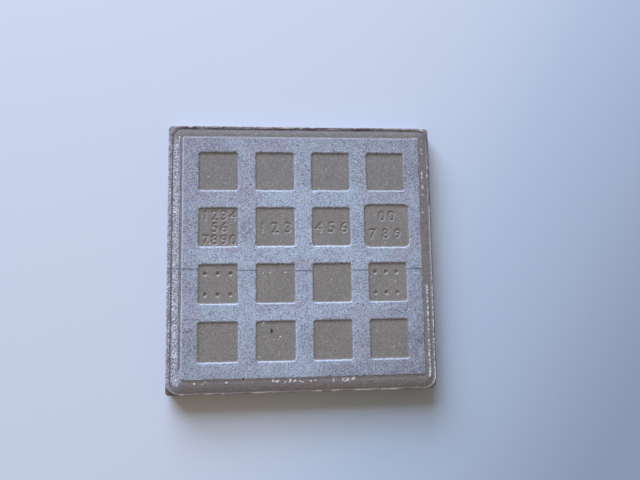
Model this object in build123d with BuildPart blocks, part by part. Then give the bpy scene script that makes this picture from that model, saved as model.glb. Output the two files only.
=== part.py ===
"""Pressed ceramic wall tile, lying on its glazed face with the ribbed back up.

One fired piece. The origin is the centre of the glazed face, +Z points out of the back,
and rows of recesses count down from the +Y side, columns from the -X side.
"""

import os

from build123d import *

# Whole tile, in millimetres
side = 100.0
thickness = 7.0
corner_radius = 1.5
die_draft = 0.5
arris_radius = 0.8

# Levels of the back, measured up from the glazed face
shelf_level = 5.5
lip_level = 6.3
crown_level = 6.65

# Channel between the lip and the pad, pressed slightly off centre
channel_width = 97.65
channel_height = 98.55
channel_centre = (0.17, -0.3)
channel_corner = 4.0
lip_side = 99.7
lip_corner = 4.9
lip_easing = 0.12

# Rolled rim of the crown, from near the foot of the pad down to the foot of the lip
roll_width = 3.6
roll_drop = 0.8
roll_entry = 6.0
cutter_clearance = 0.5

# Raised pad that carries the recesses
pad_width = 89.9
pad_height = 90.0
pad_centre = (0.6, 0.5)
pad_corner = 0.5
pad_easing = 0.15

# Grid of keying recesses with drafted walls
cells_per_row = 4
pitch = 21.1
grid_centre = (0.6, 0.42)
recess_mouth = 15.0
recess_corner = 1.1
recess_depth = 0.4
recess_draft = 45.0

# Larger recess left by the loose stamp
insert_cell = (4, 2)
insert_width = 17.65
insert_height = 16.8
insert_corner = 2.3
insert_shift = (0.1, 0.28)

# Ball dimples in the floors of two recesses: cell, shift from its centre, spacing
dimple_width = 1.6
dimple_depth = 0.45
dimple_columns = 3
dimple_rows = 2
dimple_sets = (
    ((1, 3), (-0.2, -0.1), (4.65, 7.65)),
    ((4, 3), (-0.7, -0.1), (4.1, 7.8)),
)
ball_radius = (dimple_width**2 / 4 + dimple_depth**2) / (2 * dimple_depth)
ball_level = thickness - recess_depth - dimple_depth + ball_radius


def cell_point(cell, shift):
    """A point near the middle of a recess, whose column and row count from the top left."""
    column, row = cell
    middle = (cells_per_row + 1) / 2
    x = grid_centre[0] + (column - middle) * pitch + shift[0]
    y = grid_centre[1] + (middle - row) * pitch + shift[1]
    return (x, y)


# Crown of the border: a block whose rim is rolled off by an arc carried round it
with BuildPart() as crown:
    with BuildSketch(Plane.XY.offset(shelf_level)):
        with Locations(channel_centre):
            RectangleRounded(channel_width, channel_height, channel_corner)
    extrude(amount=crown_level - shelf_level)

    with BuildSketch(Plane.XY.offset(crown_level), mode=Mode.PRIVATE) as roll_start:
        with Locations(channel_centre):
            RectangleRounded(
                channel_width - 2 * roll_width,
                channel_height - 2 * roll_width,
                channel_corner - roll_width,
            )
    roll_path = roll_start.sketch.face().outer_wire()
    along = roll_path % 0
    section_plane = Plane(roll_path @ 0, x_dir=along.cross(Vector(0, 0, 1)), z_dir=-along)
    with BuildSketch(section_plane):
        with BuildLine():
            entry = Vector(1, 0).rotate(Axis.Z, -roll_entry)
            roll = TangentArc((0, 0), (roll_width, -roll_drop), tangent=entry)
            Polyline(roll @ 1, (roll_width, cutter_clearance), (0, cutter_clearance), (0, 0))
        make_face()
    sweep(path=roll_path, mode=Mode.SUBTRACT)

with BuildPart() as tile:
    # Body, drafted to leave the die, with the arris of the glazed face eased
    with BuildSketch():
        RectangleRounded(side, side, corner_radius)
    extrude(amount=shelf_level, taper=die_draft)
    fillet(tile.faces().sort_by(Axis.Z)[0].edges(), radius=arris_radius)

    # Lip that the upper die leaves round the edge
    with BuildSketch(Plane.XY.offset(shelf_level)):
        RectangleRounded(lip_side, lip_side, lip_corner)
        with Locations(channel_centre):
            RectangleRounded(channel_width, channel_height, channel_corner, mode=Mode.SUBTRACT)
    extrude(amount=lip_level - shelf_level)
    lip_top = tile.faces().filter_by(Axis.Z).sort_by(Axis.Z)[-1]
    fillet(lip_top.edges(), radius=lip_easing)

    add(crown.part)

    # Pad with an eased edge, then the recesses pressed into it
    with BuildSketch(Plane.XY.offset(shelf_level)):
        with Locations(pad_centre):
            RectangleRounded(pad_width, pad_height, pad_corner)
    extrude(amount=thickness - shelf_level)
    pad_top = tile.faces().sort_by(Axis.Z)[-1]
    fillet(pad_top.edges(), radius=pad_easing)

    with BuildSketch(Plane.XY.offset(thickness)):
        with Locations(grid_centre):
            with GridLocations(pitch, pitch, cells_per_row, cells_per_row):
                RectangleRounded(recess_mouth, recess_mouth, recess_corner)
        with Locations(cell_point(insert_cell, insert_shift)):
            RectangleRounded(insert_width, insert_height, insert_corner)
    extrude(amount=-recess_depth, taper=recess_draft, mode=Mode.SUBTRACT)

    # Dimples pressed by ball-ended pins
    for cell, shift, spacing in dimple_sets:
        with Locations((*cell_point(cell, shift), ball_level)):
            with GridLocations(*spacing, dimple_columns, dimple_rows):
                Sphere(ball_radius, mode=Mode.SUBTRACT)

tile.part.label = "wall_tile"

os.makedirs("parts", exist_ok=True)
export_step(tile.part, "parts/wall_tile.step")
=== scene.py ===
"""Looks of a pressed ceramic wall tile that lies on its glazed face with the ribbed back up.

The tile is one fired piece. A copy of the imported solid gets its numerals, chips, worn lip and gritty skin
here, and a finish with bare clay in the low places and a thin pale engobe on the high ones.
"""

from math import radians, tan, tau
from types import SimpleNamespace

import bpy
import numpy as np
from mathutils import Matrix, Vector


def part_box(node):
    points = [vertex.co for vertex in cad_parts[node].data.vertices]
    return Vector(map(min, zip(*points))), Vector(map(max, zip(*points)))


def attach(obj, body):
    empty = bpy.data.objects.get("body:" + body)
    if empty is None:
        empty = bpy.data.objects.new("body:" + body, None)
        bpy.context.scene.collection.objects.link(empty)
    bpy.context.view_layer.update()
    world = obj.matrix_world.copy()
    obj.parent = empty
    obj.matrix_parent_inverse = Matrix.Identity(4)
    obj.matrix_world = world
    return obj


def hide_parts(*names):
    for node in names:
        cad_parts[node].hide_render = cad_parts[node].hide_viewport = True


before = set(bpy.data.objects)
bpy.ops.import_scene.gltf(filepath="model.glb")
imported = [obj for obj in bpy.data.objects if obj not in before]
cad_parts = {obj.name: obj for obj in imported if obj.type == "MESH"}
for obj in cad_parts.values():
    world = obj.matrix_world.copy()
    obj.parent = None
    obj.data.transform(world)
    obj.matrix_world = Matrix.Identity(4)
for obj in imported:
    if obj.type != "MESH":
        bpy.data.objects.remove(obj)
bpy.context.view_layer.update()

MM = 0.001
tile_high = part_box("wall_tile")[1]

# Levels and places on the back, in millimetres from the centre of the glazed face
pad_level = tile_high.z / MM
recess_depth = 0.4
recess_floor = pad_level - recess_depth
crown_level = pad_level - 0.35
shelf_level = pad_level - 1.5
glaze_level = 0.75
pitch = 21.1
grid_centre = (0.6, 0.42)
pad_size = (89.9, 90.0)
pad_centre = (0.6, 0.5)
pad_corner = 0.5
channel_size = (97.65, 98.55)
channel_centre = (0.17, -0.3)
channel_corner = 4.0

# Fineness of the finished mesh
voxel = 0.2
triangle_budget = 190000


def cell_point(column, row, shift_x=0.0, shift_y=0.0):
    """A point near the middle of a recess; columns count from the left and rows from the top."""
    return (
        grid_centre[0] + (column - 2.5) * pitch + shift_x,
        grid_centre[1] + (2.5 - row) * pitch + shift_y,
    )


# Stamped numerals: cell, row of figures, middle of the row from the cell's middle, step, figure height
numeral_rows = (
    ((1, 2), "1234", (0.3, 4.2), 3.4, 3.8),
    ((1, 2), "56", (0.3, -0.3), 3.4, 3.8),
    ((1, 2), "7890", (0.3, -4.9), 3.4, 3.8),
    ((2, 2), "123", (-0.15, -0.5), 4.85, 4.1),
    ((3, 2), "456", (0.0, -0.4), 4.7, 4.1),
    ((4, 2), "00", (0.1, 3.9), 3.6, 3.8),
    ((4, 2), "789", (-0.5, -2.9), 4.8, 3.7),
)
figure_height_in_font = 0.73
figure_widening = 1.1
numeral_depth = 0.24
stroke_growth = 0.2
numeral_voxel = 0.1

# Chips off the outer edge: middle, height of the middle and radius
edge_chips = (
    ((-50.9, 50.9), 6.4, 2.1),
    ((-41.7, 50.7), 6.4, 1.4),
    ((-24.2, 50.7), 6.4, 0.9),
    ((-9.0, 50.8), 6.4, 0.9),
    ((4.6, 50.9), 6.9, 1.7),
    ((18.5, 50.8), 6.4, 0.9),
    ((47.6, 50.6), 6.4, 1.0),
    ((50.8, 21.0), 6.4, 0.9),
    ((-50.7, -12.0), 6.4, 0.8),
    ((50.7, -50.7), 6.4, 1.2),
    ((12.0, -50.8), 6.4, 0.9),
)


def make_active(piece):
    """Selects one object alone."""
    bpy.ops.object.select_all(action="DESELECT")
    piece.select_set(True)
    bpy.context.view_layer.objects.active = piece


def apply_modifier(piece, kind, **settings):
    """Adds a modifier with these settings and applies it."""
    make_active(piece)
    modifier = piece.modifiers.new(kind.lower(), kind)
    for name, value in settings.items():
        setattr(modifier, name, value)
    bpy.ops.object.modifier_apply(modifier=modifier.name)


def merge_doubles(piece, distance):
    """Joins points that lie together and turns the faces outwards."""
    make_active(piece)
    bpy.ops.object.mode_set(mode="EDIT")
    bpy.ops.mesh.select_all(action="SELECT")
    bpy.ops.mesh.remove_doubles(threshold=distance * MM)
    bpy.ops.mesh.normals_make_consistent(inside=False)
    bpy.ops.object.mode_set(mode="OBJECT")


def figure_cutter(figure, x, y, height):
    """One numeral as a closed solid that stands half in the recess floor, swollen to a broad round stroke."""
    bpy.ops.object.select_all(action="DESELECT")
    bpy.ops.object.text_add(location=(x * MM, y * MM, recess_floor * MM))
    cutter = bpy.context.active_object
    cutter.data.body = figure
    cutter.data.align_x = "CENTER"
    cutter.data.align_y = "CENTER"
    cutter.data.size = height * MM / figure_height_in_font
    cutter.data.extrude = (numeral_depth - stroke_growth) * MM
    bpy.ops.object.convert(target="MESH")
    cutter.scale.x = figure_widening
    bpy.ops.object.transform_apply(location=True, rotation=True, scale=True)
    merge_doubles(cutter, 0.001)
    apply_modifier(cutter, "REMESH", mode="VOXEL", voxel_size=numeral_voxel * MM)
    apply_modifier(cutter, "DISPLACE", strength=stroke_growth * MM, mid_level=0.0)
    return cutter


def chip_cutter(x, y, z, radius):
    """A ball that bites into an edge of the back."""
    bpy.ops.object.select_all(action="DESELECT")
    place = (x * MM, y * MM, z * MM)
    bpy.ops.mesh.primitive_ico_sphere_add(subdivisions=3, radius=radius * MM, location=place)
    bpy.ops.object.transform_apply(location=True, rotation=True, scale=True)
    return bpy.context.active_object


def cut_away(tile, cutters):
    """Joins the cutters and takes them out of the tile."""
    bpy.ops.object.select_all(action="DESELECT")
    for cutter in cutters:
        cutter.select_set(True)
    bpy.context.view_layer.objects.active = cutters[0]
    bpy.ops.object.join()
    joined = bpy.context.active_object
    apply_modifier(
        tile, "BOOLEAN", operation="DIFFERENCE", object=joined, solver="EXACT", use_self=True
    )
    bpy.data.objects.remove(joined)


def stamp_numerals(tile):
    """Presses every row of figures into its recess floor."""
    cutters = []
    for cell, figures, (shift_x, shift_y), step, height in numeral_rows:
        middle = (len(figures) - 1) / 2
        for place, figure in enumerate(figures):
            x, y = cell_point(*cell, shift_x + (place - middle) * step, shift_y)
            cutters.append(figure_cutter(figure, x, y, height))
    cut_away(tile, cutters)


def chip_edges(tile):
    """Knocks the small chips off the outer edges."""
    cut_away(tile, [chip_cutter(x, y, z, radius) for (x, y), z, radius in edge_chips])


def rises(values, low, high):
    """A smooth rise from 0 to 1 while the values go from low to high."""
    share = np.clip((values - low) / (high - low), 0.0, 1.0)
    return share * share * (3.0 - 2.0 * share)


def within(values, low, high, softness):
    """1 between low and high, fading to 0 over softness outside."""
    return rises(values, low - softness, low) * (1.0 - rises(values, high, high + softness))


def outside_channel(x, y):
    """How far points lie outside the rounded channel, in millimetres; negative inside."""
    reach_x = np.abs(x - channel_centre[0]) - channel_size[0] / 2 + channel_corner
    reach_y = np.abs(y - channel_centre[1]) - channel_size[1] / 2 + channel_corner
    inner = np.minimum(np.maximum(reach_x, reach_y), 0.0)
    outer = np.hypot(np.maximum(reach_x, 0.0), np.maximum(reach_y, 0.0))
    return inner + outer - channel_corner


def points_of(piece):
    """The mesh's points as columns x, y and z in millimetres."""
    rows = np.empty(len(piece.data.vertices) * 3)
    piece.data.vertices.foreach_get("co", rows)
    return (rows.reshape(-1, 3) / MM).T


def weigh(piece, name, weights):
    """A vertex group with these weights, one for every point, in steps of a tenth."""
    group = piece.vertex_groups.new(name=name)
    steps = np.rint(weights * 10).astype(int)
    for step in range(1, 11):
        group.add(np.flatnonzero(steps == step).tolist(), step / 10, "REPLACE")
    return name


def roughen(piece, name, weights, grain, strength, direction="NORMAL", middle=0.5):
    """Moves weighted points by clouds of noise of that grain, both in millimetres."""
    clouds = bpy.data.textures.new(name, "CLOUDS")
    clouds.noise_scale = grain * MM
    clouds.noise_depth = 2
    apply_modifier(
        piece, "DISPLACE", texture=clouds, texture_coords="LOCAL", direction=direction,
        vertex_group=weigh(piece, name, weights), strength=strength * MM, mid_level=middle,
    )


# Ragged right edge of the last recess in the top row, from and to along each axis
ragged_edge = ((38.9, 40.1), (25.6, 38.8))

# Engobe on the border: a broad strip at the left that ends in a blob, and a thin bead at the right,
# from and to along each axis; the blob's middle and half sizes
left_strip = ((-47.8, -45.45), (-45.0, 44.2))
right_bead = ((46.95, 47.65), (-45.6, -11.6))
blob_middle = (-45.8, -45.1)
blob_reach = (1.5, 1.8)

# Heights between which the sides turn into the back
back_rise = (4.8, 5.6)

# Where each lip begins and where it is fully reached, along the axis that crosses it
right_lip = (48.0, 48.6)
left_lip = (-48.0, -48.6)
far_lip = (48.0, 48.6)
near_lip = (-48.8, -49.2)


def wear_the_back(tile):
    """Gives the remeshed back its wandering edges, worn lip, gritty coat, strip and bead."""
    x, y, z = points_of(tile)
    back = rises(z, *back_rise)
    at_left = 1.0 - rises(x, left_lip[1], left_lip[0])
    on_lip = back * rises(outside_channel(x, y), -0.1, 0.05)
    on_border = back * (1.0 - on_lip) * (1.0 - rises(z, crown_level + 0.05, crown_level + 0.15))
    on_pad = rises(z, pad_level - 0.2, pad_level - 0.08)
    in_middle = back * (1.0 - rises(outside_channel(x, y), -0.6, -0.1))
    bead = on_border * within(x, *right_bead[0], 0.2) * within(y, *right_bead[1], 1.0)
    from_blob = np.hypot((x - blob_middle[0]) / blob_reach[0], (y - blob_middle[1]) / blob_reach[1])
    blob = on_border * (1.0 - rises(from_blob, 0.55, 1.05))
    strip = on_border * within(x, *left_strip[0], 0.2) * within(y, *left_strip[1], 0.8) * (1.0 - blob)
    ragged = back * within(x, *ragged_edge[0], 0.4) * within(y, *ragged_edge[1], 0.4)
    worn = on_lip * (1.0 - 0.6 * at_left)
    bare = in_middle * (1.0 - on_pad)

    roughen(tile, "wander_across", in_middle, grain=1.5, strength=0.28, direction="X")
    roughen(tile, "wander_along", in_middle, grain=1.7, strength=0.28, direction="Y")
    roughen(tile, "ragged_edge", ragged, grain=1.2, strength=1.0, direction="X", middle=0.47)
    roughen(tile, "lip_wear", worn, grain=3.5, strength=-0.45, direction="Z", middle=0.35)
    roughen(tile, "lip_nibble", on_lip, grain=0.7, strength=0.3, middle=0.75)
    roughen(tile, "strip_grains", strip, grain=0.5, strength=0.24, direction="Z", middle=0.0)
    roughen(tile, "bead_grains", bead, grain=0.6, strength=0.5, direction="Z", middle=0.1)
    roughen(tile, "blob", blob, grain=0.8, strength=0.28, direction="Z", middle=0.0)
    roughen(tile, "coat_grit", on_pad, grain=0.6, strength=0.05, middle=1.0)
    roughen(tile, "clay_grit", bare, grain=0.45, strength=0.035)


def make_tile():
    """The fired tile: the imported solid's copy, stamped, chipped, remeshed finely and worn."""
    tile = bpy.data.objects.new("fired_tile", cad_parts["wall_tile"].data.copy())
    bpy.context.scene.collection.objects.link(tile)
    merge_doubles(tile, 0.002)
    stamp_numerals(tile)
    chip_edges(tile)
    apply_modifier(tile, "REMESH", mode="VOXEL", voxel_size=voxel * MM)
    wear_the_back(tile)

    triangles = sum(len(face.vertices) - 2 for face in tile.data.polygons)
    apply_modifier(tile, "DECIMATE", decimate_type="COLLAPSE", ratio=triangle_budget / triangles)
    make_active(tile)
    bpy.ops.object.shade_smooth()
    return tile


def srgb(red, green, blue):
    """A colour as a picture shows it, 0 to 255, as the linear colour that a shader takes."""
    levels = [level / 255 for level in (red, green, blue)]
    linear = [v / 12.92 if v <= 0.04045 else ((v + 0.055) / 1.055) ** 2.4 for v in levels]
    return (*linear, 1.0)


# Clay: its two tones, both ends of the tile, painted highlight on walls that face the window and painted
# bluish shade on walls that turn from it, painted light in pressed marks, the border with painted shade in
# its far channel, grains and glints
clay_tones = (srgb(125, 123, 125), srgb(129, 127, 129))
far_clay = srgb(121, 121, 127)
near_clay = srgb(110, 106, 108)
lit_wall = srgb(186, 183, 186)
shaded_wall = srgb(118, 128, 160)
painted_light_in_marks = srgb(164, 162, 172)
border_clay = srgb(122, 118, 128)
far_channel_shade = srgb(98, 98, 101)
washed_border = srgb(120, 124, 144)
dark_grain = srgb(92, 89, 90)
light_grain = srgb(158, 155, 158)
glint = srgb(205, 204, 206)

# Dirt and wear on the border and the lip, with painted shade at the lip's foot, the right lip and the near
# lip's gaps, and painted light at the pad's foot, the near lip and the near-right corner shelf
foot_dirt_and_shade = srgb(66, 62, 84)
painted_light_at_foot = srgb(166, 168, 190)
rubbed_lip = srgb(160, 157, 160)
browned_lip = srgb(82, 64, 76)
dark_edge = srgb(78, 76, 90)
painted_shade_on_slope = srgb(84, 84, 98)
cream_highlight_on_lip = srgb(140, 128, 112)
lip_gap_shade = srgb(82, 74, 74)
lip_shade = srgb(84, 80, 96)
painted_light_on_corner = srgb(152, 160, 188)
dark_corner = srgb(78, 68, 82)

# Engobe, grey and pale, with its lilac patches, its flecks and painted highlight, the strip's own tones, and
# white grains with a painted highlight on the lip's near-right corner
grey_engobe = srgb(117, 120, 140)
pale_engobe = srgb(168, 185, 214)
lilac_engobe = srgb(146, 144, 171)
dark_speckle = srgb(76, 80, 96)
dark_fleck = srgb(60, 62, 78)
light_speckle_and_highlight = srgb(216, 224, 246)
strip_tones = (srgb(140, 148, 173), srgb(144, 145, 168))
strip_dark = srgb(74, 70, 86)
strip_light = srgb(222, 226, 240)
white_grain_and_highlight = srgb(222, 224, 234)
bluish_white = srgb(200, 210, 238)

# Marks on top of the finish
tick_tone = srgb(70, 66, 82)
line_tone = srgb(60, 62, 74)
smear_tone = srgb(60, 66, 88)
dark_spot_tone = srgb(38, 36, 40)

# Glaze of the hidden face, and the floor from its light end through painted shade to its dark one
glaze_tones = (srgb(226, 224, 218), srgb(233, 232, 228))
floor_light = srgb(196, 206, 230)
painted_floor_half_shade = srgb(175, 193, 223)
painted_floor_shade = srgb(140, 154, 184)


class Finish:
    """A node tree with short ways to add a node and join it to others."""

    def __init__(self, tree):
        self.tree = tree

    def join(self, value, socket):
        """Joins another node's socket to this one, or sets a plain value on it."""
        if isinstance(value, bpy.types.NodeSocket):
            self.tree.links.new(value, socket)
        else:
            socket.default_value = value

    def add(self, kind, inputs=None, **settings):
        """A node with these settings and inputs."""
        node = self.tree.nodes.new(kind)
        for name, value in settings.items():
            setattr(node, name, value)
        for name, value in (inputs or {}).items():
            self.join(value, node.inputs[name])
        return node

    def math(self, operation, first, second=0.0, third=0.0):
        """One step of arithmetic."""
        node = self.add("ShaderNodeMath", {0: first, 1: second, 2: third}, operation=operation)
        return node.outputs["Value"]

    def product(self, first, *others):
        """All the values multiplied."""
        for other in others:
            first = self.math("MULTIPLY", first, other)
        return first

    def total(self, first, *others):
        """The sum of a value and of pairs of a value and its weight."""
        for value, weight in others:
            first = self.math("MULTIPLY_ADD", value, weight, first)
        return first

    def most(self, first, *others):
        """The largest of the values."""
        for other in others:
            first = self.math("MAXIMUM", first, other)
        return first

    def ramp(self, value, low, high, start=0.0, end=1.0):
        """A smooth change from start to end while value goes from low to high."""
        node = self.add(
            "ShaderNodeMapRange",
            {"Value": value, "From Min": low, "From Max": high, "To Min": start, "To Max": end},
            interpolation_type="SMOOTHSTEP",
        )
        return node.outputs["Result"]

    def band(self, value, low, high, softness):
        """1 between low and high, with soft ends."""
        rise = self.ramp(value, low - softness, low + softness)
        fall = self.ramp(value, high - softness, high + softness, 1.0, 0.0)
        return self.product(rise, fall)

    def outside(self, x, y, size, centre, corner):
        """How far a place lies outside a rounded rectangle, in millimetres; negative inside."""
        reach = []
        for value, width, middle in ((x, size[0], centre[0]), (y, size[1], centre[1])):
            away = self.math("ABSOLUTE", self.math("SUBTRACT", value, middle))
            reach.append(self.math("SUBTRACT", away, width / 2 - corner))
        inner = self.math("MINIMUM", self.most(*reach), 0.0)
        beyond = [self.math("MAXIMUM", value, 0.0) for value in reach]
        square = self.math("MULTIPLY_ADD", beyond[0], beyond[0], self.product(beyond[1], beyond[1]))
        outer = self.math("SQRT", square)
        return self.math("SUBTRACT", self.math("ADD", inner, outer), corner)

    def clouds(self, place, grain, seed, detail=2.0):
        """Soft noise of about that grain in millimetres, from 0 to 1 about 0.5."""
        shift = (seed, 2 * seed, 3 * seed)
        shifted = self.add("ShaderNodeVectorMath", {0: place, 1: shift}, operation="ADD")
        node = self.add(
            "ShaderNodeTexNoise",
            {"Vector": shifted.outputs["Vector"], "Scale": 0.6 / grain, "Detail": detail},
        )
        return node.outputs["Fac"]

    def haze(self, place, grain, seed, detail=2.0):
        """The same soft noise, about 0."""
        return self.math("SUBTRACT", self.clouds(place, grain, seed, detail), 0.5)

    def grains(self, place, size):
        """The shared grit: a random tone for every grain, and the height of its dome."""
        node = self.add("ShaderNodeGroup", node_tree=grit_group())
        self.join(place, node.inputs["Place"])
        self.join(1 / size, node.inputs["Fineness"])
        return node.outputs["Tone"], node.outputs["Dome"]

    def mix(self, share, first, second):
        """Two colours mixed by a share."""
        node = self.add("ShaderNodeMix", {0: share, 6: first, 7: second}, data_type="RGBA")
        return node.outputs[2]


def grit_group():
    """The node group for grit, made at its first use."""
    group = bpy.data.node_groups.get("grit")
    if group:
        return group
    group = bpy.data.node_groups.new("grit", "ShaderNodeTree")
    group.interface.new_socket("Place", in_out="INPUT", socket_type="NodeSocketVector")
    group.interface.new_socket("Fineness", in_out="INPUT", socket_type="NodeSocketFloat")
    group.interface.new_socket("Tone", in_out="OUTPUT", socket_type="NodeSocketFloat")
    group.interface.new_socket("Dome", in_out="OUTPUT", socket_type="NodeSocketFloat")
    finish = Finish(group)
    given = finish.add("NodeGroupInput").outputs
    cells = finish.add("ShaderNodeTexVoronoi", {"Vector": given["Place"], "Scale": given["Fineness"]})
    tone = finish.add("ShaderNodeSeparateColor", {0: cells.outputs["Color"]}).outputs["Red"]
    dome = finish.math("SUBTRACT", 1.0, cells.outputs["Distance"])
    finish.add("NodeGroupOutput", {"Tone": tone, "Dome": dome})
    return group


def new_finish(name):
    """A material with its Principled shader, and a place in millimetres to read patterns at."""
    material = bpy.data.materials.new(name)
    material.use_nodes = True
    finish = Finish(material.node_tree)
    shader = material.node_tree.nodes["Principled BSDF"]
    coordinates = finish.add("ShaderNodeTexCoord")
    place = finish.add(
        "ShaderNodeVectorMath", {0: coordinates.outputs["Object"], "Scale": 1 / MM}, operation="SCALE"
    )
    return material, finish, shader, place.outputs["Vector"]


# Marks on the back: middle, width and height
dark_spots = (
    ((-11.6, -27.5), 0.8, 1.7),
    ((-42.0, -27.25), 0.75, 0.5),
    ((-40.9, -26.8), 0.65, 0.6),
    ((-39.5, -32.5), 0.6, 0.65),
    ((-21.9, -44.4), 0.9, 0.7),
)
smears = (
    ((44.1, -32.3), 1.4, 2.0),
    ((43.0, -31.8), 3.0, 0.5),
    ((-41.6, 20.8), 5.0, 0.5),
    ((-41.4, -22.9), 6.0, 0.5),
    ((38.6, -20.5), 1.6, 0.9),
    ((33.5, -43.2), 2.4, 0.9),
)
white_spots = (
    ((-39.5, -45.7), 0.8, 0.7),
    ((-35.6, -45.2), 0.4, 0.5),
    ((-28.0, -45.6), 0.9, 0.6),
    ((-14.5, -24.5), 0.5, 0.5),
    ((-8.5, -29.6), 0.5, 0.5),
    ((-14.6, -6.2), 0.5, 0.35),
    ((-12.0, -6.1), 0.4, 0.4),
    ((-6.3, -6.0), 0.6, 0.4),
    ((10.7, -8.9), 0.4, 0.4),
    ((33.7, -34.1), 0.4, 0.35),
    ((2.6, -45.8), 0.6, 0.6),
    ((4.2, -45.6), 0.6, 0.5),
    ((46.8, 41.2), 0.5, 0.6),
    ((47.1, 39.6), 0.35, 0.8),
    ((46.8, 23.4), 0.7, 0.5),
    ((46.6, 16.5), 0.6, 0.5),
    ((48.9, 31.0), 0.3, 0.9),
    ((-45.7, 45.3), 0.5, 0.5),
    ((47.3, 49.35), 1.3, 0.4),
)
dull_patches = (
    ((0.6, -31.0), 6.0, 12.0),
    ((12.0, -42.5), 18.0, 6.0),
    ((-20.5, 11.0), 6.0, 12.0),
)
# White grains on the border: strewn runs along the near side and the line they keep to, and a few at the
# right, from and to along each axis
speck_runs = ((-12.0, -9.0), (-7.2, -2.6), (-1.6, -0.2), (10.2, 12.3), (14.0, 18.8))
speck_line = -45.7
speck_reach = 0.5
few_grains = ((46.5, 47.1), (25.8, 32.4))

# Stretches of the right lip with white dots and with a rubbed crest, where single dots take over, and the
# coated stretch of the left lip, from and to along the tile
dotted_stretch = (-46.0, -11.0)
rubbed_stretch = (-10.0, 19.5)
single_dots = (20.0, 21.0)
left_stretch = (-47.0, 45.5)

# Engobe that stops short of the pad's far edge, slants at the strip's far end and ran in beside the pad
coat_margin = 0.25
strip_slant = 0.6
run_in_side = -44.2
run_in_end = -40.5

# The drawn line: where its bow is lowest, its level there and how fast it rises
line_middle = 12.0
line_level = -5.5
line_bow = 0.00036

# Sizes of grains, half the width over which the engobe greys, and places where corners begin and end
coat_grain = 0.22
clay_grain = 0.3
fleck_grain = 0.5
engobe_reach = 44.0
corner_reach = (90.0, 92.0)
crest_turn = (92.5, 94.0)


def oval(finish, at, mark):
    """The square of the way from a mark's middle, 1 at the mark's edge."""
    (middle_x, middle_y), width, height = mark
    across = finish.math("DIVIDE", finish.math("SUBTRACT", at.x, middle_x), width / 2)
    along = finish.math("DIVIDE", finish.math("SUBTRACT", at.y, middle_y), height / 2)
    return finish.math("MULTIPLY_ADD", across, across, finish.product(along, along))


def spots(finish, at, marks):
    """A mask of small uneven spots at these places."""
    found = 0.0
    for mark in marks:
        uneven = finish.total(oval(finish, at, mark), (at.wobble, 1.2))
        found = finish.most(finish.ramp(uneven, 0.7, 1.3, 1.0, 0.0), found)
    return found


def stains(finish, at):
    """Soft dull patches in the engobe."""
    found = 0.0
    for mark in dull_patches:
        found = finish.most(finish.ramp(oval(finish, at, mark), 0.0, 1.4, 1.0, 0.0), found)
    return found


def back_fields(finish, place):
    """What the back's patterns are drawn from: places, distances from edges, tones of grains and clouds."""
    axes = finish.add("ShaderNodeSeparateXYZ", {0: place}).outputs
    at = SimpleNamespace(x=axes["X"], y=axes["Y"], z=axes["Z"])
    facing = finish.add("ShaderNodeTexCoord").outputs["Normal"]
    at.facing = finish.add("ShaderNodeSeparateXYZ", {0: facing}).outputs
    at.coat_tone, at.coat_dome = finish.grains(place, coat_grain)
    at.clay_tone, at.clay_dome = finish.grains(place, clay_grain)
    at.fleck_tone = finish.grains(place, fleck_grain)[0]
    at.drift = finish.haze(place, grain=8.0, seed=5.0, detail=3.0)
    at.patches = finish.haze(place, grain=3.0, seed=9.0)
    at.tint = finish.haze(place, grain=6.0, seed=23.0)
    at.wander = finish.haze(place, grain=2.5, seed=17.0)
    at.wobble = finish.haze(place, grain=0.9, seed=13.0)
    at.off_pad = finish.outside(at.x, at.y, pad_size, pad_centre, pad_corner)
    at.off_channel = finish.outside(at.x, at.y, channel_size, channel_centre, channel_corner)
    at.above_shelf = finish.ramp(at.z, shelf_level + 0.2, shelf_level + 0.4)
    at.on_lip = finish.product(at.above_shelf, finish.ramp(at.off_channel, -0.05, 0.1))
    at.right_lip = finish.ramp(at.x, *right_lip)
    at.left_lip = finish.ramp(at.x, *left_lip)
    at.far_or_left = finish.ramp(finish.math("SUBTRACT", at.y, at.x), 0.0, 4.0)
    at.crumbled = finish.product(
        finish.band(at.x, ragged_edge[0][0] + 0.2, ragged_edge[0][1] + 0.3, 0.2),
        finish.band(at.y, *ragged_edge[1], 0.4),
    )
    return at


def coat_on_pad(finish, at):
    """Engobe on the pad, down to near the foot of the recess walls, but thinner on far and left walls."""
    from_left = finish.math("MAXIMUM", at.facing["X"], 0.0)
    from_far = finish.math("MINIMUM", at.facing["Y"], 0.0)
    crumbs = finish.product(at.crumbled, finish.math("SUBTRACT", at.fleck_tone, 0.7))
    height = finish.total(at.z, (at.wobble, 0.08), (from_left, -0.2), (from_far, 0.08), (crumbs, 0.75))
    on_top = finish.ramp(height, recess_floor + 0.05, recess_floor + 0.17)
    far_edge = pad_centre[1] + pad_size[1] / 2 - coat_margin
    return finish.product(on_top, finish.ramp(at.y, far_edge - 0.08, far_edge + 0.08, 1.0, 0.0))


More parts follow.
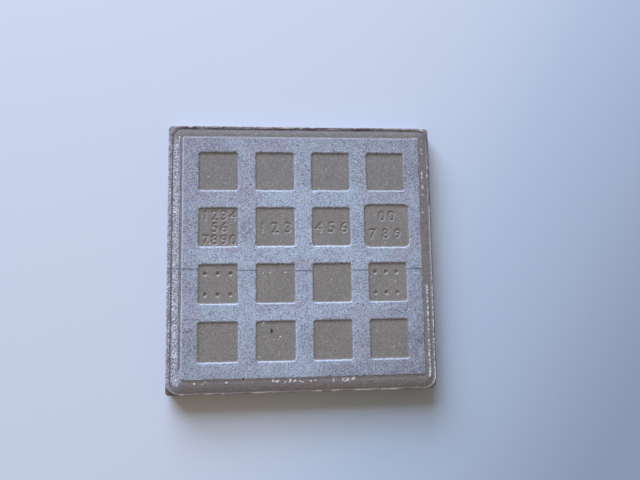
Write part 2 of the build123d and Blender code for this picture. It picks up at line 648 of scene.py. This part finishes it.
def coat_on_strip(finish, at):
    """Engobe of the left strip and lip, the slanted far end, the blob and what ran in beside the pad."""
    grainy = finish.math("SUBTRACT", at.fleck_tone, 0.5)
    across = finish.total(at.x, (at.wander, 0.5), (grainy, 0.4))
    slant = finish.total(at.y, (at.x, -strip_slant), (at.wander, 1.0), (grainy, 0.6))
    low_end, high_end = left_strip[1]
    slanted_end = high_end - strip_slant * sum(left_strip[0]) / 2
    strip = finish.product(
        finish.band(across, *left_strip[0], 0.12), finish.ramp(at.y, low_end - 0.3, low_end + 0.3),
        finish.ramp(slant, slanted_end - 0.3, slanted_end + 0.3, 1.0, 0.0),
    )
    blob = spots(finish, at, ((blob_middle, 2 * blob_reach[0], 2 * blob_reach[1]),))
    run_in = finish.product(
        finish.band(across, left_strip[0][1] - 0.2, run_in_side, 0.15),
        finish.band(at.y, low_end, run_in_end, 0.8),
    )
    coated_lip = finish.product(
        at.left_lip, at.above_shelf, finish.band(at.off_channel, -0.2, 1.05, 0.15),
        finish.ramp(at.clay_tone, 0.1, 0.4, 0.3, 0.95), finish.ramp(at.patches, -0.1, -0.02, 0.5, 1.0),
        finish.ramp(at.y, 45.0, 46.5, 1.0, 0.0),
    )
    return finish.most(strip, blob, run_in, coated_lip)


def white_on_border(finish, at):
    """White grains along the right bead, strewn on the near border, and single spots."""
    across = finish.total(at.x, (at.wander, 0.5))
    broken = finish.ramp(at.clay_tone, 0.2, 0.25, 0.3, 1.0)
    bead = finish.product(
        finish.band(across, *right_bead[0], 0.15), finish.band(at.y, *right_bead[1], 0.6),
        finish.ramp(at.fleck_tone, 0.4, 0.45), broken,
    )
    few = finish.product(
        finish.band(across, *few_grains[0], 0.15), finish.band(at.y, *few_grains[1], 0.4),
        finish.ramp(at.fleck_tone, 0.5, 0.55), broken,
    )
    runs = finish.most(*[finish.band(at.x, *run, 0.3) for run in speck_runs])
    line = finish.total(at.y, (at.wander, 2.4))
    strewn = finish.product(
        runs, finish.band(line, speck_line - speck_reach, speck_line + speck_reach, 0.2),
        finish.ramp(at.fleck_tone, 0.58, 0.62),
    )
    return finish.most(bead, few, strewn, spots(finish, at, white_spots))


def white_on_lip(finish, at):
    """White grains on the left and right lips, the rubbed crest at the right, and a painted highlight at its
    near corner.
    """
    out = finish.total(at.off_channel, (at.wobble, 0.2))
    crest = finish.product(at.above_shelf, finish.band(out, 0.1, 0.4, 0.06))
    right_crest = finish.product(crest, at.right_lip)
    along = finish.total(at.y, (at.wander, 3.0))
    dotted = finish.product(
        right_crest, finish.band(along, *dotted_stretch, 0.5), finish.ramp(at.clay_tone, 0.45, 0.5, 0.05, 0.9)
    )
    rubbed = finish.product(right_crest, finish.band(along, *rubbed_stretch, 0.5), 0.38)
    sparse = finish.product(
        right_crest, finish.ramp(at.y, *single_dots), finish.ramp(at.fleck_tone, 0.85, 0.9)
    )
    # Painted highlight on the crest of the lip's near-right corner, which catches the window light
    turned = finish.ramp(finish.math("SUBTRACT", at.x, at.y), *crest_turn)
    corner = finish.product(crest, turned, 0.6)
    left_crest = finish.product(
        at.on_lip, at.left_lip, finish.band(at.y, *left_stretch, 1.0), finish.band(out, -0.1, 0.2, 0.08)
    )
    left = finish.product(left_crest, finish.ramp(at.clay_tone, 0.4, 0.6, 0.15, 0.75))
    return finish.most(dotted, rubbed, sparse, corner, left)


def clay_colour(finish, at):
    """Fired clay with fine grains, bluish at the far side, duller at the near one, washed pale in places,
    with painted highlight and bluish shade on walls by how they face the window, painted light in pressed
    marks and painted shade in the far channel.
    """
    clay = finish.mix(finish.ramp(at.drift, -0.12, 0.12), *clay_tones)
    clay = finish.mix(finish.ramp(at.y, 10.0, 35.0, 0.0, 0.5), clay, far_clay)
    clay = finish.mix(finish.ramp(at.y, -15.0, -35.0, 0.0, 0.2), clay, near_clay)
    # Painted highlight on walls that face the window, painted bluish shade on walls that turn from it
    clay = finish.mix(finish.ramp(at.facing["Y"], 0.2, 0.6, 0.0, 0.4), clay, lit_wall)
    clay = finish.mix(finish.ramp(at.facing["Y"], -0.2, -0.6, 0.0, 0.7), clay, shaded_wall)
    # Painted light that lifts the shade inside pressed numerals and dimples, on walls not facing the window
    pressed = finish.product(
        finish.ramp(at.z, recess_floor - 0.2, recess_floor - 0.05, 0.4, 0.0),
        finish.ramp(at.off_pad, -1.0, -0.5, 1.0, 0.0), finish.ramp(at.facing["Y"], 0.0, 0.2, 1.0, 0.0),
    )
    clay = finish.mix(pressed, clay, painted_light_in_marks)
    on_border = finish.ramp(at.off_pad, 0.0, 0.3)
    clay = finish.mix(finish.product(on_border, 0.7), clay, border_clay)
    in_channel = finish.product(on_border, finish.ramp(at.off_channel, -0.1, 0.05, 1.0, 0.0))
    # Painted shade over the far channel, which leans towards the window, deepest beside the pad
    beside_pad = finish.ramp(at.off_pad, 0.4, 2.4, 0.95, 0.45)
    far = finish.product(in_channel, finish.ramp(at.y, 45.0, 45.5), beside_pad)
    clay = finish.mix(far, clay, far_channel_shade)
    washed = finish.most(
        finish.product(finish.ramp(at.x, 45.0, 45.4), finish.band(at.y, -46.0, -12.0, 1.0)),
        finish.product(finish.ramp(at.x, -44.4, -44.0, 1.0, 0.0), finish.ramp(at.y, 42.0, 45.0, 1.0, 0.0)),
    )
    clay = finish.mix(finish.product(washed, in_channel, 0.5), clay, washed_border)
    clay = finish.mix(finish.ramp(at.clay_tone, 0.0, 0.6, 0.55, 0.0), clay, dark_grain)
    clay = finish.mix(finish.ramp(at.clay_tone, 0.75, 1.0, 0.0, 0.5), clay, light_grain)
    return finish.mix(finish.ramp(at.clay_tone, 0.998, 0.999, 0.0, 0.8), clay, glint)


def dirt_and_light_at_feet(finish, at, clay):
    """Dark dirt along the feet of lip and pad at the far and left sides, with painted shade where the lip
    shades the channel, and painted light that lifts the shade at the pad's foot on the other sides.
    """
    # Dirt, with painted shade where the lip's shadow falls; dirt alone at the pad's foot
    foot_of_lip = finish.product(finish.band(at.off_channel, -0.8, -0.25, 0.15), at.far_or_left, 0.65)
    foot_of_pad = finish.product(finish.band(at.off_pad, -0.2, 0.45, 0.2), at.far_or_left, 0.45)
    uneven = finish.ramp(at.wobble, -0.2, 0.1, 0.7, 1.1)
    clay = finish.mix(finish.product(finish.most(foot_of_lip, foot_of_pad), uneven), clay, foot_dirt_and_shade)
    # Painted light lifting the shade at the pad's foot on the near and right sides
    near_or_right = finish.math("SUBTRACT", 1.0, at.far_or_left)
    most_at_near = finish.ramp(at.y, -44.0, -44.3, 0.4, 0.75)
    lit_foot = finish.product(finish.band(at.off_pad, -0.1, 0.4, 0.2), near_or_right, most_at_near)
    return finish.mix(lit_foot, clay, painted_light_at_foot)


def worn_and_painted_lip(finish, at, clay):
    """The lip rubbed pale in patches and browned at the far side, with painted shade on the right lip's slope
    and outer edge, and a cream painted highlight on the near lip broken by painted shade.
    """
    rubbed = finish.product(at.on_lip, at.far_or_left, finish.ramp(at.patches, -0.1, 0.1, 0.15, 0.6))
    clay = finish.mix(rubbed, clay, rubbed_lip)
    ragged = finish.total(at.tint, (at.wobble, 0.3))
    browned = finish.product(
        at.on_lip, finish.ramp(at.y, *far_lip), finish.ramp(at.off_channel, 0.5, 0.7, 1.0, 0.0),
        finish.ramp(ragged, 0.02, 0.06, 0.0, 0.75),
    )
    clay = finish.mix(browned, clay, browned_lip)
    at_right = finish.product(at.on_lip, at.right_lip)
    # Painted shade on the outer edge of the right lip, which turns from the window
    edge = finish.product(
        at_right, finish.ramp(at.off_channel, 0.4, 0.5), finish.ramp(at.patches, -0.15, 0.05, 0.3, 0.8)
    )
    clay = finish.mix(edge, clay, dark_edge)
    # Painted shade that dulls the right lip's slope, which faces the window
    slope = finish.product(at_right, finish.ramp(at.patches, -0.1, 0.1, 0.75, 0.4))
    clay = finish.mix(slope, clay, painted_shade_on_slope)
    # Cream painted highlight along the near lip, where the window lights it, broken into dashes by painted
    # shade
    at_near = finish.product(
        finish.ramp(at.y, *near_lip), finish.ramp(at.off_channel, -0.3, -0.15), at.above_shelf
    )
    clay = finish.mix(finish.product(at_near, 0.6), clay, cream_highlight_on_lip)
    gaps = finish.product(at_near, finish.ramp(at.wander, -0.06, 0.04, 0.85, 0.0))
    return finish.mix(gaps, clay, lip_gap_shade)


def dark_beside_lip(finish, at):
    """A dark broken line outside the crest of the left lip."""
    out = finish.total(at.off_channel, (at.wobble, 0.25))
    return finish.product(
        at.left_lip, at.above_shelf, finish.band(out, 0.28, 0.5, 0.1),
        finish.ramp(at.tint, -0.05, 0.08, 0.15, 0.7),
    )


def corner_shelves(finish, at, clay):
    """The low corners outside the lip: painted bluish light at the near right, where the lip shades the
    shelf, dark at the near left.
    """
    low = finish.ramp(at.z, shelf_level + 0.05, shelf_level + 0.25, 1.0, 0.0)
    shelf = finish.product(low, finish.ramp(at.facing["Z"], 0.5, 0.8), finish.ramp(at.off_channel, 0.8, 1.0))
    to_near_right = finish.math("SUBTRACT", at.x, at.y)
    to_near_left = finish.math("MULTIPLY", finish.math("ADD", at.x, at.y), -1.0)
    # Painted bluish light on the near-right shelf, in the lip's shade
    near_right = finish.product(shelf, finish.ramp(to_near_right, *corner_reach), 0.7)
    near_left = finish.product(shelf, finish.ramp(to_near_left, *corner_reach), 0.6)
    clay = finish.mix(near_right, clay, painted_light_on_corner)
    return finish.mix(near_left, clay, dark_corner)


def engobe_colour(finish, at):
    """Pale bluish engobe in the middle and along the rows of ribs, greyer towards the edges and at the near
    right, with painted highlight on the pad's far and left edges and on walls that face the window.
    """
    out_x = finish.math("DIVIDE", at.x, engobe_reach)
    out_y = finish.math("DIVIDE", at.y, engobe_reach)
    to_right = finish.math("MAXIMUM", out_x, 0.0)
    to_near = finish.math("MINIMUM", out_y, 0.0)
    turn = finish.math("MULTIPLY", finish.math("SUBTRACT", at.y, grid_centre[1]), tau / pitch)
    rows = finish.math("COSINE", turn)
    # Paler in the middle and along the rows of ribs, greyer towards the edges and most at the near right
    thick = finish.total(
        0.82, (rows, 0.1), (finish.product(out_x, out_x), -0.34), (finish.product(out_y, out_y), -0.33),
        (finish.product(to_right, to_near), 0.35), (out_x, -0.03), (out_y, -0.05), (at.drift, 0.7),
        (at.patches, 0.4), (stains(finish, at), -0.3),
    )
    engobe = finish.mix(finish.ramp(thick, -0.2, 1.2), grey_engobe, pale_engobe)
    lilac = finish.ramp(finish.total(at.tint, (out_x, -0.05), (at.wander, 0.3)), -0.06, 0.2, 0.0, 0.6)
    engobe = finish.mix(lilac, engobe, lilac_engobe)
    engobe = finish.mix(finish.ramp(at.coat_tone, 0.0, 0.45, 0.85, 0.0), engobe, dark_speckle)
    engobe = finish.mix(finish.ramp(at.fleck_tone, 0.01, 0.016, 0.75, 0.0), engobe, dark_fleck)
    # Painted highlight along the pad's far and left edges and on walls that face the window, with light
    # speckles
    from_edge = finish.total(at.off_pad, (finish.ramp(at.x, -43.0, -43.5), -0.2))
    rim = finish.product(finish.band(from_edge, -0.5, -0.2, 0.15), at.far_or_left, 0.35)
    near_walls = finish.ramp(at.facing["Y"], 0.2, 0.7, 0.0, 0.3)
    light = finish.most(finish.ramp(at.coat_tone, 0.65, 1.0, 0.0, 0.5), rim, near_walls)
    return finish.mix(light, engobe, light_speckle_and_highlight)


def strip_colour(finish, at):
    """The strip's engobe, with white and dark flecks."""
    strip = finish.mix(finish.ramp(at.tint, -0.1, 0.1), *strip_tones)
    strip = finish.mix(finish.ramp(at.clay_tone, 0.1, 0.35, 0.75, 0.0), strip, strip_dark)
    return finish.mix(finish.ramp(at.clay_tone, 0.72, 0.86, 0.0, 0.9), strip, strip_light)


def ticks(finish, at):
    """Dark ticks where the coat crumbled off the ragged recess edge."""
    high = finish.ramp(at.z, recess_floor + 0.1, recess_floor + 0.25)
    return finish.product(at.crumbled, high, finish.ramp(at.fleck_tone, 0.24, 0.28, 0.8, 0.0))


def drawn_line(finish, at):
    """A thin dark line, slightly bowed, right across the raised parts."""
    away = finish.math("SUBTRACT", at.x, line_middle)
    bowed = finish.math("MULTIPLY_ADD", finish.product(away, away), line_bow, line_level)
    distance = finish.math("ABSOLUTE", finish.math("SUBTRACT", at.y, bowed))
    uneven = finish.total(distance, (at.wobble, 0.15))
    return finish.ramp(uneven, 0.12, 0.32, 0.72, 0.0)


def back_finish():
    """Bare clay in the recesses and the border, thin gritty engobe on the pad, strip, bead and lip."""
    material, finish, shader, place = new_finish("fired_back")
    at = back_fields(finish, place)
    pad_coat = coat_on_pad(finish, at)
    strip_coat = coat_on_strip(finish, at)
    blob = spots(finish, at, ((blob_middle, 1.5 * blob_reach[0], 1.5 * blob_reach[1]),))
    white = finish.most(white_on_border(finish, at), white_on_lip(finish, at), finish.product(blob, 0.2))
    coat = finish.most(pad_coat, strip_coat, white)

    clay = dirt_and_light_at_feet(finish, at, clay_colour(finish, at))
    clay = corner_shelves(finish, at, worn_and_painted_lip(finish, at, clay))
    colour = finish.mix(strip_coat, clay, strip_colour(finish, at))
    colour = finish.mix(dark_beside_lip(finish, at), colour, lip_shade)
    white_tone = finish.mix(at.left_lip, white_grain_and_highlight, bluish_white)
    colour = finish.mix(finish.product(white, 0.95), colour, white_tone)
    colour = finish.mix(pad_coat, colour, engobe_colour(finish, at))
    colour = finish.mix(ticks(finish, at), colour, tick_tone)
    colour = finish.mix(finish.product(drawn_line(finish, at), coat), colour, line_tone)
    colour = finish.mix(finish.product(spots(finish, at, smears), coat, 0.35), colour, smear_tone)
    colour = finish.mix(spots(finish, at, dark_spots), colour, dark_spot_tone)
    finish.join(colour, shader.inputs["Base Color"])
    shader.inputs["Roughness"].default_value = 0.85

    relief = finish.mix(coat, at.clay_dome, at.coat_dome)
    bump = finish.add("ShaderNodeBump", {"Height": relief, "Strength": 0.5, "Distance": 0.06 * MM})
    finish.join(bump.outputs["Normal"], shader.inputs["Normal"])
    return material


def glaze_finish():
    """The plain pale glaze of the hidden face."""
    material, finish, shader, place = new_finish("face_glaze")
    drift = finish.clouds(place, grain=12.0, seed=3.0)
    colour = finish.mix(drift, *glaze_tones)
    finish.join(colour, shader.inputs["Base Color"])
    shader.inputs["Roughness"].default_value = 0.12
    ripple = finish.clouds(place, grain=3.0, seed=9.0, detail=1.0)
    bump = finish.add("ShaderNodeBump", {"Height": ripple, "Strength": 0.2, "Distance": 0.05 * MM})
    finish.join(bump.outputs["Normal"], shader.inputs["Normal"])
    return material


# The floor's painted shade deepens this way, from this start along it and over this length, in millimetres;
# its side is in metres, and it lies this far below the tile so that their faces don't meet
floor_way = (0.85, -0.5, 0.0)
floor_start = -60.0
floor_length = 200.0
floor_side = 6.0
floor_drop = 0.02


def floor_finish():
    """A pale table top with painted shade that darkens it towards the near right."""
    material, finish, shader, place = new_finish("pale_floor")
    towards = finish.add("ShaderNodeVectorMath", {0: place, 1: floor_way}, operation="DOT_PRODUCT")
    from_start = finish.math("SUBTRACT", towards.outputs["Value"], floor_start)
    way = finish.math("DIVIDE", from_start, floor_length)
    share = finish.math("POWER", finish.math("MINIMUM", finish.math("MAXIMUM", way, 0.0), 1.0), 2.0)
    colour = finish.mix(finish.ramp(share, 0.0, 0.4), floor_light, painted_floor_half_shade)
    colour = finish.mix(finish.ramp(share, 0.15, 1.1), colour, painted_floor_shade)
    finish.join(colour, shader.inputs["Base Color"])
    shader.inputs["Roughness"].default_value = 0.7
    return material


def glaze_the_face(tile):
    """Gives the faces below the glaze line the second material."""
    for face in tile.data.polygons:
        face.material_index = 1 if face.center.z < glaze_level * MM else 0


# Camera, from where the photograph looks down on the tile
camera_place = (-11.66, -17.03, 215.4)
camera_lean = (6.35, -4.93, -0.89)
camera_lens = 31.5


def make_camera():
    """The camera of the main picture."""
    camera = bpy.data.objects.new("camera", bpy.data.cameras.new("camera"))
    camera.data.sensor_width = 36.0
    camera.data.lens = camera_lens
    camera.data.clip_start = 0.01
    camera.location = [distance * MM for distance in camera_place]
    camera.rotation_euler = [radians(angle) for angle in camera_lean]
    bpy.context.scene.collection.objects.link(camera)
    bpy.context.scene.camera = camera


def make_floor():
    """The table top that the tile lies on."""
    bpy.ops.object.select_all(action="DESELECT")
    bpy.ops.mesh.primitive_plane_add(size=floor_side, location=(0, 0, -floor_drop * MM))
    floor = bpy.context.active_object
    floor.name = "floor"
    floor.data.materials.append(floor_finish())


# Upright window beyond the far side, slightly to the left, in metres, and a dim warm room;
# its panes: name, lowest and highest angle above the floor, power
window_foot = (-1.03, 2.82)
window_width = 2.7
window_panes = (
    ("window_low", 10.5, 21.0, 129.0),
    ("window_high", 21.0, 41.0, 143.0),
)
window_colour = (0.77, 0.87, 1.0)
room_colour = (0.385, 0.307, 0.207)


def make_window():
    """One upright area light for each pane, facing the tile."""
    distance = np.hypot(*window_foot)
    for name, low, high, power in window_panes:
        bottom = distance * tan(radians(low))
        top = distance * tan(radians(high))
        pane = bpy.data.objects.new(name, bpy.data.lights.new(name, "AREA"))
        pane.data.shape = "RECTANGLE"
        pane.data.size = window_width
        pane.data.size_y = top - bottom
        pane.data.energy = power
        pane.data.color = window_colour
        pane.location = (*window_foot, (bottom + top) / 2)
        towards_tile = -pane.location
        towards_tile.z = 0.0
        pane.rotation_euler = towards_tile.to_track_quat("-Z", "Y").to_euler()
        bpy.context.scene.collection.objects.link(pane)


def make_room():
    """The dim light that the rest of the room gives."""
    world = bpy.data.worlds.new("room")
    world.use_nodes = True
    world.node_tree.nodes["Background"].inputs["Color"].default_value = (*room_colour, 1.0)
    bpy.context.scene.world = world


tile = make_tile()
tile.data.materials.clear()
tile.data.materials.append(back_finish())
tile.data.materials.append(glaze_finish())
glaze_the_face(tile)
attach(tile, "root")
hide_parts("wall_tile")
make_floor()
make_window()
make_room()
make_camera()
bpy.context.scene.view_settings.view_transform = "Standard"
